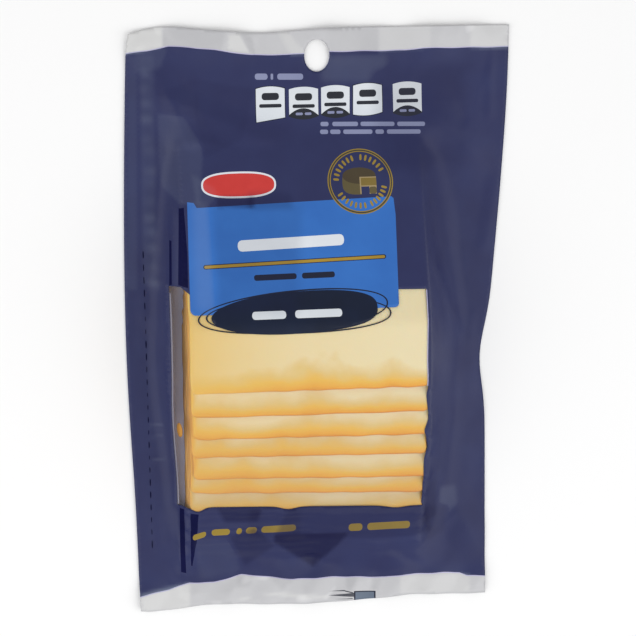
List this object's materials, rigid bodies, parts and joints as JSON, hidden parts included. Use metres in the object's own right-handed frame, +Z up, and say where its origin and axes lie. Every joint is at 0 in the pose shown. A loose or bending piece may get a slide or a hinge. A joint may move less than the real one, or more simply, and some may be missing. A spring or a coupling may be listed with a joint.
{
  "type": "pack of sliced cheese",
  "caption": "Flat film pouch with a hang hole and a clear window, holding a fanned stack of square cheese slices.",
  "frame": {"origin": "middle of the pouch's outline, on the surface that it lies on", "axes": "+Z up out of the printed face, +Y towards the end with the hang hole, +X to the right of the printed face"},
  "size_m": [0.1536, 0.2314, 0.0252],
  "materials": {
    "back_film": "satin",
    "printed_film": "satin",
    "clear_film": "gloss",
    "cheese": "satin"
  },
  "bodies": {
    "root": {"back_film": "back_film", "printed_film": "printed_film", "window_film": "clear_film", "slice_01": "cheese", "slice_02": "cheese", "slice_03": "cheese", "slice_04": "cheese", "slice_05": "cheese", "slice_06": "cheese", "slice_07": "cheese", "slice_08": "cheese", "slice_09": "cheese", "slice_10": "cheese"}
  },
  "joints": []
}
